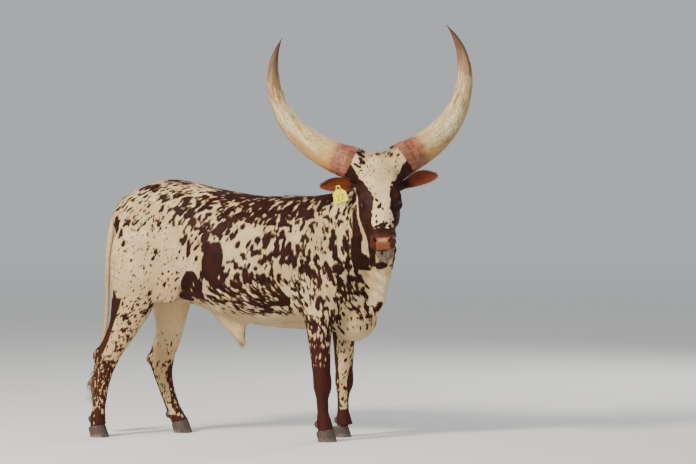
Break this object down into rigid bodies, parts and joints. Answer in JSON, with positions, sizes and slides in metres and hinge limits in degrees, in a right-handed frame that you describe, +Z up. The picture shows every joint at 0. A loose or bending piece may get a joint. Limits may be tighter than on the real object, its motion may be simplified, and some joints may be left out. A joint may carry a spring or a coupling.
{
  "type": "ankole watusi cattle",
  "caption": "Life-size long-horned Ankole Watusi steer, cream with dark speckles, standing with its head turned to its right side and an ear tag.",
  "frame": {"origin": "on the floor, below the middle of the whole animal's box", "axes": "+X towards the chest, +Y to the animal's left, +Z up"},
  "size_m": [2.0937, 0.72, 2.2059],
  "materials": {
    "coat": "short cream coat with dark brown speckles and blotches",
    "ear_skin": "short rust-brown hair, paler inside the cup",
    "horn": "ivory horn with lengthwise grooves, pink at the base and brown at the tip",
    "hoof": "dark brown horny hoof, satin",
    "eye": "wet, nearly black eye",
    "tail_hair": "long wavy brown hair",
    "tag": "yellow flexible plastic",
    "stud": "black plastic"
  },
  "bodies": {
    "root": {"ear_left": "ear_skin", "ear_right": "ear_skin", "ear_tag": "tag", "ear_tag_stud": "stud", "eye_left": "eye", "eye_right": "eye", "front_left_inner_dewclaw": "hoof", "front_left_inner_hoof": "hoof", "front_left_lower_leg": "coat", "front_left_outer_dewclaw": "hoof", "front_left_outer_hoof": "hoof", "front_left_upper_leg": "coat", "front_right_inner_dewclaw": "hoof", "front_right_inner_hoof": "hoof", "front_right_lower_leg": "coat", "front_right_outer_dewclaw": "hoof", "front_right_outer_hoof": "hoof", "front_right_upper_leg": "coat", "head": "coat", "hind_left_inner_dewclaw": "hoof", "hind_left_inner_hoof": "hoof", "hind_left_lower_leg": "coat", "hind_left_outer_dewclaw": "hoof", "hind_left_outer_hoof": "hoof", "hind_left_upper_leg": "coat", "hind_right_inner_dewclaw": "hoof", "hind_right_inner_hoof": "hoof", "hind_right_lower_leg": "coat", "hind_right_outer_dewclaw": "hoof", "hind_right_outer_hoof": "hoof", "hind_right_upper_leg": "coat", "horn_left": "horn", "horn_right": "horn", "neck": "coat", "tail_lower": "coat", "tail_switch": "tail_hair", "tail_upper": "coat", "torso": "coat"}
  },
  "joints": []
}
